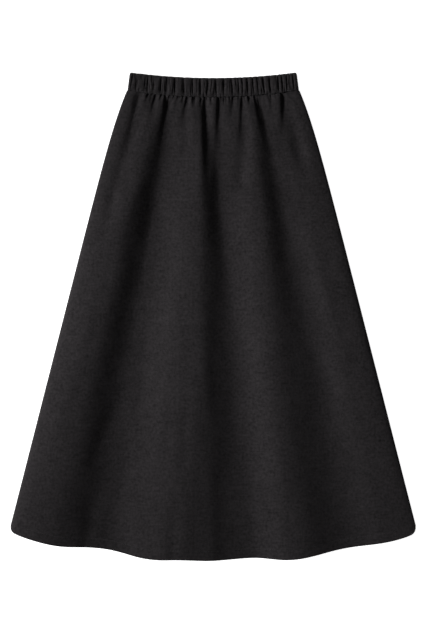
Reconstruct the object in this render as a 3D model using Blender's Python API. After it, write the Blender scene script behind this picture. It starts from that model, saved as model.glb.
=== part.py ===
"""A gathered maxi skirt with a ruched elastic waistband, laid flat on its back panel.

Four cut pieces: the front panel, the back panel and the two halves of the waistband casing. Metres, +Z up
from the surface the skirt lies on, +Y towards the waist and +X to the right as seen from above. A place on
a panel is given as a share across (-1 at the left side seam, 1 at the right) and a share down (0 at the
waistband seam, 1 at the hem).
"""
from collections import namedtuple

import bmesh
import bpy
import numpy as np

# Plan of the laid skirt
LENGTH = 0.984
BAND_HEIGHT = 0.0398
PANEL_LENGTH = LENGTH - BAND_HEIGHT
BAND_HALF_TOP = 0.1712
BAND_HALF_SEAM = 0.1753
BAND_TOP_RISE = 0.0115
SEAM_RISE = 0.0139
SEAM_HALF = 0.1766
HEM_HALF = 0.4150
HEM_RADIUS = 1.564
SIDE_EASE = 0.0121
SIDE_EASE_REACH = 0.075
BAND_CORNER = 0.005
HEM_CORNER = 0.008

# Cloth and seams
CLOTH = 0.0015
HEM_EXTRA = 0.0007
TURN_UP = 1.0 - 0.022 / PANEL_LENGTH
TURN_UP_STEP = 0.002 / PANEL_LENGTH
SEAM_GAP = 0.0003
BACK_HEM_SHORTER = 0.002

# Heights above the surface, and how the band is rounded, as shares of its height or of its crest
BACK_BAND_TOP = 0.0050
FRONT_BAND_CREST = 0.0068
BAND_RIM = 0.0009
BAND_TOP_ROUND = 0.16
BAND_SIDE_SHARE = 0.25
BAND_PINCH = 0.35
BAND_PINCH_START = 0.75
FRONT_SEAM_HEIGHT = 0.0096
LEFT_ROUNDNESS = 1.9
RIGHT_ROUNDNESS = 2.6
SEAM_GROOVE_REACH = 0.022
BACK_SEAM_LIFT = 0.0016
BACK_SEAM_REACH = 0.030
BACK_CURL = 0.005
GATHER_DRAWN_IN = 0.25
GATHER_DRAWN_REACH = 0.012
BACK_GATHER_SHARE = 0.45
BACK_GATHER_REACH = 0.40
BACK_GATHER_LIMIT = 0.0010

# Height of the side seam at its shares down the side
SideSeam = namedtuple("SideSeam", "down height")
SIDE_SEAMS = (
    SideSeam(0.00, 0.0050),
    SideSeam(0.08, 0.0036),
    SideSeam(0.20, 0.0032),
    SideSeam(0.90, 0.0032),
    SideSeam(1.00, 0.0040),
)

# The large folds of the front panel, left to right. Each is a line down the panel: where it is across and
# how high the cloth stands there, at the seam, the hip, half way and the hem.
STATIONS = (0.0, 0.15, 0.5, 1.0)
Fold = namedtuple("Fold", "name across height")
FOLDS = (
    Fold("left ridge", (-0.60, -0.665, -0.76, -0.82), (0.0116, 0.0150, 0.0205, 0.0215)),
    Fold("left trough", (-0.46, -0.44, -0.51, -0.52), (0.0092, 0.0054, 0.0044, 0.0050)),
    Fold("middle ridge", (-0.18, -0.13, -0.12, -0.20), (0.0120, 0.0152, 0.0210, 0.0245)),
    Fold("middle trough", (-0.05, 0.04, 0.145, 0.21), (0.0092, 0.0064, 0.0082, 0.0075)),
    Fold("right ridge", (0.38, 0.395, 0.385, 0.39), (0.0116, 0.0145, 0.0195, 0.0235)),
    Fold("right trough", (0.53, 0.585, 0.66, 0.72), (0.0092, 0.0058, 0.0062, 0.0052)),
    Fold("side ridge", (0.74, 0.84, 0.84, 0.87), (0.0108, 0.0085, 0.0100, 0.0078)),
)

# How far the folds drop the hem below its arc, from the left side seam to the right one
HemWave = namedtuple("HemWave", "across drop")
HEM_WAVES = (
    HemWave(-1.00, -0.0010),
    HemWave(-0.80, 0.0050),
    HemWave(-0.54, -0.0048),
    HemWave(-0.31, 0.0046),
    HemWave(-0.14, 0.0014),
    HemWave(-0.02, 0.0024),
    HemWave(0.18, 0.0000),
    HemWave(0.40, 0.0080),
    HemWave(0.64, 0.0019),
    HemWave(0.88, 0.0074),
    HemWave(1.00, -0.0010),
)

# The small gathers under the waistband, left to right: where each starts and ends across, how far it runs
# down, how deep it is and half its width.
Gather = namedtuple("Gather", "start end length depth width")
GATHERS = (
    Gather(-0.95, -0.96, 0.030, 0.0010, 0.0034),
    Gather(-0.85, -0.88, 0.190, 0.0026, 0.0050),
    Gather(-0.765, -0.80, 0.046, 0.0023, 0.0034),
    Gather(-0.71, -0.70, 0.030, 0.0012, 0.0034),
    Gather(-0.635, -0.675, 0.100, 0.0024, 0.0040),
    Gather(-0.56, -0.55, 0.022, 0.0011, 0.0034),
    Gather(-0.505, -0.495, 0.200, 0.0043, 0.0050),
    Gather(-0.455, -0.47, 0.042, 0.0018, 0.0034),
    Gather(-0.40, -0.40, 0.046, 0.0019, 0.0034),
    Gather(-0.30, -0.31, 0.098, 0.0027, 0.0038),
    Gather(-0.21, -0.20, 0.036, 0.0022, 0.0034),
    Gather(-0.115, -0.01, 0.230, 0.0043, 0.0046),
    Gather(-0.03, -0.04, 0.026, 0.0016, 0.0034),
    Gather(0.07, 0.045, 0.170, 0.0032, 0.0042),
    Gather(0.13, 0.11, 0.028, 0.0018, 0.0034),
    Gather(0.205, 0.19, 0.060, 0.0021, 0.0036),
    Gather(0.325, 0.26, 0.135, 0.0034, 0.0044),
    Gather(0.39, 0.38, 0.022, 0.0017, 0.0034),
    Gather(0.48, 0.515, 0.200, 0.0043, 0.0054),
    Gather(0.54, 0.53, 0.028, 0.0018, 0.0034),
    Gather(0.63, 0.615, 0.060, 0.0021, 0.0036),
    Gather(0.77, 0.70, 0.130, 0.0034, 0.0040),
    Gather(0.85, 0.86, 0.034, 0.0013, 0.0034),
    Gather(0.905, 0.945, 0.120, 0.0014, 0.0040),
    Gather(0.96, 0.965, 0.034, 0.0014, 0.0034),
)

# The valleys between the ruches of the waistband, left to right: place, lean from top to seam, and depth
Ruche = namedtuple("Ruche", "place lean depth")
RUCHES = (
    Ruche(-0.1568, 0.0008, 0.0016),
    Ruche(-0.1450, -0.0006, 0.0010),
    Ruche(-0.1330, 0.0010, 0.0026),
    Ruche(-0.1216, 0.0004, 0.0017),
    Ruche(-0.1066, -0.0010, 0.0026),
    Ruche(-0.0943, 0.0006, 0.0016),
    Ruche(-0.0779, 0.0012, 0.0026),
    Ruche(-0.0599, -0.0008, 0.0018),
    Ruche(-0.0412, 0.0010, 0.0018),
    Ruche(-0.0248, -0.0012, 0.0026),
    Ruche(-0.0096, 0.0006, 0.0016),
    Ruche(0.0080, 0.0012, 0.0026),
    Ruche(0.0238, -0.0006, 0.0018),
    Ruche(0.0404, 0.0010, 0.0019),
    Ruche(0.0547, -0.0010, 0.0017),
    Ruche(0.0720, 0.0006, 0.0018),
    Ruche(0.0840, -0.0004, 0.0025),
    Ruche(0.0935, 0.0008, 0.0015),
    Ruche(0.1078, 0.0012, 0.0026),
    Ruche(0.1193, -0.0008, 0.0016),
    Ruche(0.1400, 0.0010, 0.0022),
    Ruche(0.1538, -0.0008, 0.0017),
    Ruche(0.1638, 0.0006, 0.0019),
)
RUCHE_ROUNDNESS = 2.2
RUCHE_END_SHARE = 0.55
BAND_SCALLOP = 0.0008

# How finely each surface is divided
PANEL_COLUMNS = 100
SIDE_INSETS = (0.0, 0.0006, 0.0024, 0.006, 0.012, 0.020)
PANEL_ROWS = (0.0, 0.012, 0.03, 0.055, 0.085, 0.125, 0.18, 0.26, 0.36, 0.48, 0.61, 0.74, 0.86)
CURL_ANGLES = 4
BAND_ROWS = (0.0, 0.05, 0.16, 0.35, 0.6, 0.82, 0.93, 1.0)
COLUMNS_PER_RUCHE = 4
SMOOTH_ANGLE = 0.7
STEEPEST_STRETCH = 1.2

# Finish
CLOTH_COLOUR = (0.020, 0.018, 0.019, 1.0)
BAND_COLOUR = (0.019, 0.017, 0.018, 1.0)
CLOTH_ROUGHNESS = 0.92


def clear_scene():
    for thing in list(bpy.data.objects):
        bpy.data.objects.remove(thing, do_unlink=True)


def cloth_material(name, colour):
    material = bpy.data.materials.new(name)
    material.use_nodes = True
    shader = material.node_tree.nodes["Principled BSDF"]
    shader.inputs["Base Color"].default_value = colour
    shader.inputs["Roughness"].default_value = CLOTH_ROUGHNESS
    shader.inputs["Metallic"].default_value = 0.0
    return material


def ease(share):
    """A smooth step: 0 below 0, 1 above 1, level at both ends."""
    share = np.clip(share, 0.0, 1.0)
    return share * share * (3.0 - 2.0 * share)


def smooth_through(stations, values, place):
    """A curve through the values at the stations, with each slope taken from its neighbours."""
    stations = np.asarray(stations)
    values = np.asarray(values)
    slopes = np.gradient(values, stations)
    index = int(np.clip(np.searchsorted(stations, place) - 1, 0, len(stations) - 2))
    span = stations[index + 1] - stations[index]
    t = (place - stations[index]) / span
    start = (2 * t**3 - 3 * t**2 + 1) * values[index] + (t**3 - 2 * t**2 + t) * span * slopes[index]
    end = (3 * t**2 - 2 * t**3) * values[index + 1] + (t**3 - t**2) * span * slopes[index + 1]
    return start + end


def side_half_width(down):
    """Half the panel's width: a straight flare, drawn in where the side meets the waistband."""
    flare = SEAM_HALF + SIDE_EASE + (HEM_HALF - SEAM_HALF - SIDE_EASE) * down
    return flare - SIDE_EASE * np.exp(-down / SIDE_EASE_REACH)


def side_seam_height(down):
    rows = SIDE_SEAMS
    return np.interp(down, [row.down for row in rows], [row.height for row in rows])


def band_top_y(x):
    return BAND_TOP_RISE * (x / BAND_HALF_TOP) ** 2


def seam_y(x):
    return SEAM_RISE * (x / BAND_HALF_SEAM) ** 2 - BAND_HEIGHT


def hem_y(x):
    """The hem is an arc with its centre on the skirt's middle line."""
    return HEM_RADIUS - LENGTH - np.sqrt(HEM_RADIUS**2 - x**2)


def fold_lines(down):
    """Places across and heights of the side seams and the folds at one share down."""
    across = [smooth_through(STATIONS, fold.across, down) for fold in FOLDS]
    height = [smooth_through(STATIONS, fold.height, down) for fold in FOLDS]
    side = side_seam_height(down) + SEAM_GAP
    return np.array([-1.0, *across, 1.0]), np.array([side, *height, side])


def between_lines(share, lines, values):
    """Values joined by half cosine waves from line to line, and at each side seam by a quarter of a
    superellipse, rounder on the right.

    Also gives the lean of the cloth: 1 where it stands upright at a side seam, 0 from the first fold on.
    """
    span = np.clip(np.searchsorted(lines, share) - 1, 0, len(lines) - 2)
    t = np.clip((share - lines[span]) / (lines[span + 1] - lines[span]), 0.0, 1.0)
    blend = (1.0 - np.cos(np.pi * t)) / 2.0
    lean = np.zeros_like(share)
    left = span == 0
    right = span == len(lines) - 2
    lean[left] = 1.0 - t[left]
    lean[right] = t[right]
    blend[left] = (1.0 - lean[left] ** LEFT_ROUNDNESS) ** (1.0 / LEFT_ROUNDNESS)
    blend[right] = 1.0 - (1.0 - lean[right] ** RIGHT_ROUNDNESS) ** (1.0 / RIGHT_ROUNDNESS)
    return values[span] + (values[span + 1] - values[span]) * blend, lean


def gather_depth(share, down, half_width, side):
    """Depth of all the gathers at one row: bell-shaped valleys that fade out down the panel.

    Side is 1 for the front. The back has the same gathers mirrored, side -1, and they are shorter.
    """
    depth = np.zeros_like(share)
    run = down * PANEL_LENGTH
    for gather in GATHERS:
        progress = run / (gather.length if side > 0 else gather.length * BACK_GATHER_REACH)
        middle = gather.start + (gather.end - gather.start) * min(progress, 1.0)
        width = gather.width * (1.0 + progress)
        shape = np.exp(-(((share * side - middle) * half_width / width) ** 2))
        depth += gather.depth * (1.0 - ease(progress)) * shape
    return depth * (1.0 - GATHER_DRAWN_IN * np.exp(-run / GATHER_DRAWN_REACH))


def panel_rows():
    """Shares down the panel, with a narrow step where the hem's turn-up starts."""
    return np.array([*PANEL_ROWS, TURN_UP - TURN_UP_STEP, TURN_UP, 1.0])


def wall_thickness(down):
    """The cloth, doubled and pressed where the hem is turned up."""
    return CLOTH + HEM_EXTRA * (down > TURN_UP - TURN_UP_STEP / 2.0)


def panel_columns(insets):
    """Columns as a share of the middle stretch and an inset from the side, left to right."""
    middle = np.linspace(-1.0, 1.0, PANEL_COLUMNS)
    sides = np.array(insets[:-1])
    share = np.concatenate([np.full(len(sides), -1.0), middle, np.full(len(sides), 1.0)])
    inset = np.concatenate([sides, np.full(len(middle), insets[-1]), sides[::-1]])
    return share, inset


def panel_plan(down, insets, hem_shorter):
    """X, Y and the share across of one row of a panel."""
    share, inset = panel_columns(insets)
    half_width = side_half_width(down)
    x = share * (half_width - inset)
    across = x / half_width
    top = seam_y(across * SEAM_HALF) - SEAM_GAP
    waves = np.array(HEM_WAVES)
    drop = between_lines(across, waves[:, 0], waves[:, 1])[0] - hem_shorter
    from_side = np.clip(half_width * (1.0 - np.abs(across)), 0.0, HEM_CORNER)
    corner = HEM_CORNER - np.sqrt(HEM_CORNER**2 - (HEM_CORNER - from_side) ** 2)
    bottom = hem_y(across * HEM_HALF) - drop + corner
    return x, top + (bottom - top) * down, across


def front_row(down):
    """Outer and inner points of the front panel at one share down."""
    x, y, across = panel_plan(down, SIDE_INSETS, 0.0)
    half_width = side_half_width(down)
    lines, heights = fold_lines(down)
    z, lean = between_lines(across, lines, heights)
    run = down * PANEL_LENGTH
    groove = np.exp(-run / SEAM_GROOVE_REACH) * (1.0 - lean)
    z = z + (FRONT_SEAM_HEIGHT - z) * groove
    z = z - gather_depth(across, down, half_width, 1) * (1.0 - lean)
    thick = wall_thickness(down)
    slope = np.gradient(z, x)
    straight_down = thick * np.minimum(np.sqrt(1.0 + slope**2), STEEPEST_STRETCH)
    inner_z = z - np.where(lean > 0.0, thick * np.sqrt(1.0 - lean**2), straight_down)
    inner_x = x - np.sign(x) * thick * lean
    return np.column_stack([x, y, z]), np.column_stack([inner_x, y, inner_z])


def back_row(down, insets, curl_angles):
    """Outer points, on the surface, and inner points of the back panel at one share down."""
    x, y, across = panel_plan(down, insets, BACK_HEM_SHORTER)
    side = side_seam_height(down)
    thick = wall_thickness(down)
    middle = np.full(PANEL_COLUMNS, np.pi / 2.0)
    angle = np.concatenate([curl_angles[:-1], middle, curl_angles[:-1][::-1]])
    run = down * PANEL_LENGTH
    lift = BACK_SEAM_LIFT * (1.0 - ease(run / BACK_SEAM_REACH))
    gathers = gather_depth(across, down, side_half_width(down), -1)
    lift = lift + np.minimum(gathers * BACK_GATHER_SHARE, BACK_GATHER_LIMIT)
    z = lift * np.sin(angle) + side * (1.0 - np.sin(angle))
    inner_z = z + thick * np.sin(angle)
    inner_x = x - np.sign(x) * thick * np.cos(angle)
    return np.column_stack([x, y, z]), np.column_stack([inner_x, y, inner_z])


def closed_wall(name, outer, inner, material):
    """One closed body between two grids of points with the same rows and columns."""
    rows, columns = outer.shape[:2]
    form = bmesh.new()
    outer_verts = [[form.verts.new(point) for point in row] for row in outer]
    inner_verts = [[form.verts.new(point) for point in row] for row in inner]
    for i in range(rows - 1):
        for j in range(columns - 1):
            for grid in (outer_verts, inner_verts):
                form.faces.new((grid[i][j], grid[i][j + 1], grid[i + 1][j + 1], grid[i + 1][j]))
    rim = [(0, j) for j in range(columns)]
    rim += [(i, columns - 1) for i in range(1, rows)]
    rim += [(rows - 1, j) for j in range(columns - 2, -1, -1)]
    rim += [(i, 0) for i in range(rows - 2, 0, -1)]
    for (i, j), (k, m) in zip(rim, rim[1:] + rim[:1]):
        form.faces.new((outer_verts[i][j], outer_verts[k][m], inner_verts[k][m], inner_verts[i][j]))
    bmesh.ops.recalc_face_normals(form, faces=form.faces[:])
    mesh = bpy.data.meshes.new(name)
    form.to_mesh(mesh)
    form.free()
    mesh.shade_smooth()
    mesh.set_sharp_from_angle(angle=SMOOTH_ANGLE)
    mesh.materials.append(material)
    piece = bpy.data.objects.new(name, mesh)
    bpy.context.collection.objects.link(piece)
    return piece


def front_panel():
    rows = [front_row(down) for down in panel_rows()]
    outer = np.array([row[0] for row in rows])
    inner = np.array([row[1] for row in rows])
    return closed_wall("front_panel", outer, inner, cloth_material("front_cloth", CLOTH_COLOUR))


def back_panel():
    """The back lies flat, with its two sides curled up to meet the front panel."""
    curl_angles = np.linspace(0.0, np.pi / 2.0, CURL_ANGLES + 1)
    insets = BACK_CURL * (1.0 - np.cos(curl_angles))
    rows = [back_row(down, insets, curl_angles) for down in panel_rows()]
    outer = np.array([row[0] for row in rows])
    inner = np.array([row[1] for row in rows])
    return closed_wall("back_panel", outer, inner, cloth_material("back_cloth", CLOTH_COLOUR))


def ruche_columns(side):
    """Places across the band, and at each its lean, the depth of its valley and its share of a full ruche.

    The back half of the band has the same ruches, seen from the other side.
    """
    places = np.array([-BAND_HALF_SEAM, *[side * row.place for row in RUCHES][::side], BAND_HALF_SEAM])
    leans = np.array([0.0, *[side * row.lean for row in RUCHES][::side], 0.0])
    depths = np.array([0.0, *[row.depth for row in RUCHES][::side], 0.0])
    steps = np.arange((len(places) - 1) * COLUMNS_PER_RUCHE + 1) / COLUMNS_PER_RUCHE
    index = np.arange(len(places))
    from_crest = np.abs(2.0 * (steps % 1.0) - 1.0)
    bulge = 1.0 - from_crest**RUCHE_ROUNDNESS
    return (np.interp(steps, index, places), np.interp(steps, index, leans),
            np.interp(steps, index, depths), bulge)


def band_half(name, side, level, crest, material):
    """Half of the waistband casing: side 1 is the front, side -1 the back.

    Its plain face is at the given level. The ruched face stands off it by crest, less the valleys, is
    rounded at the top fold and at the sides, and is pinched where it is sewn to the panel.
    """
    place, lean, depth, bulge = ruche_columns(side)
    outer = []
    inner = []
    for down in BAND_ROWS:
        half = BAND_HALF_TOP + (BAND_HALF_SEAM - BAND_HALF_TOP) * down
        x = place * half / BAND_HALF_SEAM + lean * (down - 0.5)
        top = band_top_y(x) - BAND_SCALLOP * (1.0 - bulge)
        from_side = np.clip((half - np.abs(x)) / BAND_CORNER, 0.0, 1.0)
        round_side = np.sqrt(1.0 - (1.0 - from_side) ** 2)
        top = top - BAND_CORNER * (1.0 - round_side)
        y = top + (seam_y(x) - top) * down
        round_top = np.sqrt(1.0 - (1.0 - min(down / BAND_TOP_ROUND, 1.0)) ** 2)
        pinch = 1.0 - BAND_PINCH * ease((down - BAND_PINCH_START) / (1.0 - BAND_PINCH_START))
        valley_share = RUCHE_END_SHARE + (1.0 - RUCHE_END_SHARE) * np.sin(np.pi * down)
        side_share = BAND_SIDE_SHARE + (1.0 - BAND_SIDE_SHARE) * round_side
        full = crest - depth * (1.0 - bulge) * valley_share - BAND_RIM
        stand = BAND_RIM + full * round_top * pinch * side_share
        stand = np.minimum(stand, BACK_BAND_TOP) if side < 0 else stand
        outer.append(np.column_stack([x, y, level + side * stand]))
        inner.append(np.column_stack([x, y, np.full_like(x, level)]))
    return closed_wall(name, np.array(outer), np.array(inner), material)


def centre_on_origin(pieces):
    """Move every piece so that the origin is the middle of the skirt's plan."""
    points = np.array([vertex.co[:] for piece in pieces for vertex in piece.data.vertices])
    middle = (points.max(axis=0) + points.min(axis=0)) / 2.0
    for piece in pieces:
        for vertex in piece.data.vertices:
            vertex.co.x -= middle[0]
            vertex.co.y -= middle[1]


def main():
    clear_scene()
    band_front = band_half("waistband_front", 1, BACK_BAND_TOP + SEAM_GAP, FRONT_BAND_CREST,
                           cloth_material("band_front_cloth", BAND_COLOUR))
    band_back = band_half("waistband_back", -1, BACK_BAND_TOP, FRONT_BAND_CREST,
                          cloth_material("band_back_cloth", BAND_COLOUR))
    centre_on_origin([front_panel(), back_panel(), band_front, band_back])


main()
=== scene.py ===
"""A gathered maxi skirt laid flat on its back: its cloth, ruched waistband, stitching, finish and stage.

A place on a panel is a share across (-1 at the left side seam, 1 at the right) and a share down (0 at the
waistband seam, 1 at the hem). Metres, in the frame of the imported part.
"""
import math
from collections import namedtuple

import bpy
import numpy as np
from bpy.props import FloatProperty, FloatVectorProperty, IntProperty, PointerProperty
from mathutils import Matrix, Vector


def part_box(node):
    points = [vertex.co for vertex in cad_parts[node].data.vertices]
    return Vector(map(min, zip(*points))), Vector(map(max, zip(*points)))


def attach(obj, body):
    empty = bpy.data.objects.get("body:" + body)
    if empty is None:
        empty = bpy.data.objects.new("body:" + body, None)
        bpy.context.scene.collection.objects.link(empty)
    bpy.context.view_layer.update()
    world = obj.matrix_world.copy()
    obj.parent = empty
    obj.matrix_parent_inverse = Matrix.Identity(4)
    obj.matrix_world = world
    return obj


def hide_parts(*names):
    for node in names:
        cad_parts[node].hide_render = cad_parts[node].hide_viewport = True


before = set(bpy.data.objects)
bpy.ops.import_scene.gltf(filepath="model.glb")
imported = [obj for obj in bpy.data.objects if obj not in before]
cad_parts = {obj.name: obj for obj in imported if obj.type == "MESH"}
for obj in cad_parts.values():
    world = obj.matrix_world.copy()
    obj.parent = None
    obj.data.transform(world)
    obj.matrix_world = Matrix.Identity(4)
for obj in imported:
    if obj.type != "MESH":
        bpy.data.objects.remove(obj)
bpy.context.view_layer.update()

bl_info = {
    "name": "Maxi skirt, laid flat",
    "version": (1, 0, 0),
    "blender": (4, 5, 0),
    "location": "3D View > Sidebar > Skirt",
    "description": "Lays the cloth, ruches the waistband, sews the seams and sets the studio",
    "category": "Add Mesh",
}

# Plan of the laid skirt, as in the part's source
LENGTH = 0.984
BAND_HEIGHT = 0.0398
PANEL_LENGTH = LENGTH - BAND_HEIGHT
BAND_HALF_TOP = 0.1712
BAND_HALF_SEAM = 0.1753
BAND_TOP_RISE = 0.0115
SEAM_RISE = 0.0139
SEAM_HALF = 0.1766
HEM_HALF = 0.4150
HEM_RADIUS = 1.564
SIDE_EASE = 0.0121
SIDE_EASE_REACH = 0.075
BAND_CORNER = 0.005
HEM_CORNER = 0.008
SEAM_GAP = 0.0003
BACK_HEM_SHORTER = 0.002

# Cloth, hem and seams
CLOTH = 0.0015
STEEPEST_STRETCH = 1.2
HEM_EXTRA = 0.0007
HEM_DEPTH = 0.022
HEM_STEP = 0.0012
HEM_STITCH_UP = 0.0195
HEM_GROOVE = 0.00035
HEM_GROOVE_WIDTH = 0.0016
HEM_PUCKERS = (0.011, 0.047)
HEM_PUCKER_SHARE = 0.35
HEM_FOLD_ROWS = 4
BACK_GROOVE_SHARE = 1.5
SEAM_STITCH_DOWN = 0.955
BACK_SEAM_LOWER = 0.0012
SEAM_WIGGLES = ((0.00030, 0.0210, 0.4), (0.00022, 0.0087, 2.1), (0.00025, 0.0530, 1.3))

# Heights above the floor
BACK_BAND_TOP = 0.0050
FRONT_BAND_CREST = 0.0068
BAND_RIM = 0.0006
BAND_TOP_ROUND = 0.16
BAND_SIDE_SHARE = 0.25
BAND_PINCH = 0.30
BAND_PINCH_START = 0.78
BAND_ROLL_START = 0.94
BAND_ROLL = 0.55
FRONT_SEAM_HEIGHT = 0.0096
LEFT_ROUNDNESS = 1.9
RIGHT_ROUNDNESS = 2.6
SEAM_GROOVE_REACH = 0.022
SEAM_TUCK = 0.0018
SEAM_TUCK_REACH = 0.0026
BACK_SEAM_LIFT = 0.0016
BACK_SEAM_REACH = 0.030
BACK_CURL = 0.005
GATHER_DRAWN_IN = 0.70
GATHER_SPREAD = 2.0
BACK_GATHER_SHARE = 0.45
BACK_GATHER_REACH = 0.40
BACK_GATHER_LIMIT = 0.0010
FRONT_CURL = 0.030

# Heights of the side seams, at shares down the panel
SideSeam = namedtuple("SideSeam", "down height")
SIDE_SEAMS = tuple(SideSeam(*row) for row in (
    (0.00, 0.0050),
    (0.08, 0.0036),
    (0.20, 0.0032),
    (0.90, 0.0032),
    (1.00, 0.0040),
))

# The large folds: where each one's line is across and how high the cloth stands there, at four stations down
# from the waistband seam to the hem
STATIONS = (0.0, 0.15, 0.5, 1.0)
Fold = namedtuple("Fold", "name across height")
FOLDS = tuple(Fold(*row) for row in (
    ("left ridge", (-0.60, -0.665, -0.76, -0.82), (0.0116, 0.0150, 0.0205, 0.0215)),
    ("left trough", (-0.46, -0.44, -0.51, -0.52), (0.0092, 0.0054, 0.0044, 0.0050)),
    ("middle ridge", (-0.18, -0.13, -0.12, -0.20), (0.0120, 0.0152, 0.0210, 0.0245)),
    ("middle trough", (-0.05, 0.04, 0.145, 0.21), (0.0092, 0.0064, 0.0082, 0.0075)),
    ("right ridge", (0.38, 0.395, 0.385, 0.39), (0.0116, 0.0145, 0.0195, 0.0235)),
    ("right trough", (0.53, 0.585, 0.66, 0.72), (0.0092, 0.0058, 0.0062, 0.0052)),
    ("side ridge", (0.74, 0.84, 0.84, 0.87), (0.0108, 0.0085, 0.0100, 0.0078)),
))

# How far the folds drop the hem below its arc, from the left side seam to the right one
HemWave = namedtuple("HemWave", "across drop")
HEM_WAVES = tuple(HemWave(*row) for row in (
    (-1.00, -0.0010),
    (-0.80, 0.0050),
    (-0.54, -0.0041),
    (-0.31, 0.0046),
    (-0.14, 0.0014),
    (-0.02, 0.0024),
    (0.18, 0.0000),
    (0.40, 0.0080),
    (0.64, 0.0019),
    (0.88, 0.0074),
    (1.00, -0.0010),
))

# The gathers under the waistband: places across at the start and the end, length down the panel, the rise in
# which each one deepens from the seam, depth and width
Gather = namedtuple("Gather", "start end length rise depth width")
GATHERS = tuple(Gather(*row) for row in (
    (-0.95, -0.96, 0.030, 0.003, 0.0012, 0.0028),
    (-0.85, -0.80, 0.150, 0.003, 0.0052, 0.0050),
    (-0.90, -0.87, 0.040, 0.003, 0.0022, 0.0030),
    (-0.75, -0.76, 0.026, 0.002, 0.0018, 0.0024),
    (-0.665, -0.64, 0.075, 0.002, 0.0036, 0.0034),
    (-0.60, -0.60, 0.020, 0.002, 0.0014, 0.0024),
    (-0.55, -0.51, 0.040, 0.003, 0.0030, 0.0026),
    (-0.505, -0.495, 0.200, 0.008, 0.0043, 0.0056),
    (-0.455, -0.48, 0.032, 0.002, 0.0022, 0.0024),
    (-0.41, -0.42, 0.046, 0.003, 0.0017, 0.0028),
    (-0.30, -0.315, 0.080, 0.004, 0.0029, 0.0034),
    (-0.215, -0.21, 0.036, 0.002, 0.0022, 0.0028),
    (-0.14, -0.12, 0.040, 0.002, 0.0022, 0.0024),
    (-0.095, -0.005, 0.240, 0.010, 0.0043, 0.0054),
    (-0.07, -0.07, 0.026, 0.002, 0.0020, 0.0022),
    (-0.02, -0.03, 0.026, 0.002, 0.0022, 0.0024),
    (0.065, 0.045, 0.150, 0.004, 0.0029, 0.0036),
    (0.13, 0.11, 0.026, 0.002, 0.0022, 0.0024),
    (0.225, 0.19, 0.060, 0.002, 0.0024, 0.0032),
    (0.335, 0.26, 0.130, 0.004, 0.0034, 0.0040),
    (0.415, 0.40, 0.026, 0.002, 0.0023, 0.0026),
    (0.485, 0.50, 0.090, 0.002, 0.0030, 0.0030),
    (0.545, 0.545, 0.170, 0.007, 0.0046, 0.0072),
    (0.665, 0.62, 0.056, 0.002, 0.0024, 0.0030),
    (0.80, 0.66, 0.120, 0.004, 0.0034, 0.0040),
    (0.875, 0.88, 0.022, 0.002, 0.0016, 0.0024),
    (0.915, 0.945, 0.120, 0.004, 0.0016, 0.0040),
    (0.965, 0.965, 0.030, 0.003, 0.0014, 0.0026),
))
GATHER_LEFT_WIDTH = 0.8
GATHER_RIGHT_WIDTH = 1.7

# Soft creases: a place across and down at each end, the height of the ridge or trough, and its width
Crease = namedtuple("Crease", "across down end_across end_down height width")
CREASES = tuple(Crease(*row) for row in (
    (-0.91, -0.04, -0.91, 0.06, 0.0010, 0.008),
    (-0.68, -0.03, -0.78, 0.11, -0.0018, 0.012),
    (-0.82, 0.04, -0.87, 0.34, -0.0032, 0.012),
    (-0.46, -0.04, -0.52, 0.15, 0.0013, 0.011),
    (-0.28, 0.00, -0.26, 0.16, -0.0014, 0.009),
    (-0.02, -0.05, -0.01, 0.25, 0.0035, 0.014),
    (0.36, 0.02, 0.23, 0.23, -0.0033, 0.013),
    (-0.11, 0.04, -0.12, 0.23, 0.0017, 0.012),
    (-0.80, 0.05, -0.76, 0.24, -0.0014, 0.012),
    (0.22, 0.08, 0.23, 0.22, -0.0009, 0.012),
    (0.47, 0.01, 0.52, 0.16, 0.0013, 0.012),
    (0.54, -0.04, 0.63, 0.19, 0.0014, 0.014),
    (0.76, 0.00, 0.79, 0.18, -0.0017, 0.012),
    (0.85, -0.05, 0.82, 0.21, -0.0035, 0.013),
    (-0.42, 0.18, -0.38, 0.29, 0.0010, 0.014),
    (-0.67, 0.16, -0.78, 0.39, 0.0018, 0.018),
    (-0.51, 0.14, -0.46, 0.50, -0.0011, 0.018),
    (-0.36, 0.13, -0.21, 0.41, 0.0013, 0.018),
    (0.08, 0.17, 0.14, 0.50, -0.0010, 0.018),
    (0.52, 0.29, 0.54, 0.39, -0.0009, 0.028),
    (0.71, 0.23, 0.83, 0.54, 0.0014, 0.018),
    (0.28, 0.27, 0.30, 0.74, 0.0011, 0.020),
    (-0.82, 0.37, -0.91, 0.87, 0.0013, 0.018),
    (-0.27, 0.35, -0.27, 0.64, 0.0018, 0.018),
    (-0.21, 0.47, -0.20, 0.58, 0.0008, 0.012),
    (-0.48, 0.43, -0.42, 0.75, -0.0016, 0.020),
    (-0.08, 0.41, -0.02, 0.74, 0.0013, 0.016),
    (0.12, 0.51, 0.14, 0.82, -0.0008, 0.020),
    (0.70, 0.50, 0.71, 0.79, -0.0008, 0.017),
    (0.57, 0.53, 0.58, 0.68, 0.0008, 0.020),
    (-0.30, 0.60, -0.31, 0.82, 0.0014, 0.014),
    (-0.16, 0.61, -0.16, 0.84, -0.0012, 0.014),
    (-0.56, 0.65, -0.69, 0.87, -0.0010, 0.018),
    (-0.02, 0.68, 0.00, 1.12, 0.0014, 0.018),
    (-0.20, 0.84, -0.20, 1.10, -0.0014, 0.014),
    (-0.63, 0.84, -0.62, 1.10, -0.0015, 0.016),
    (-0.47, 0.72, -0.53, 1.08, -0.0011, 0.016),
    (-0.40, 0.86, -0.37, 1.10, 0.0012, 0.018),
    (0.24, 0.79, 0.25, 1.12, 0.0013, 0.018),
    (0.41, 0.81, 0.36, 1.12, -0.0012, 0.018),
))
CREASE_FADE = 0.35
BACK_CREASE_LIMIT = 0.0006
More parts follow.
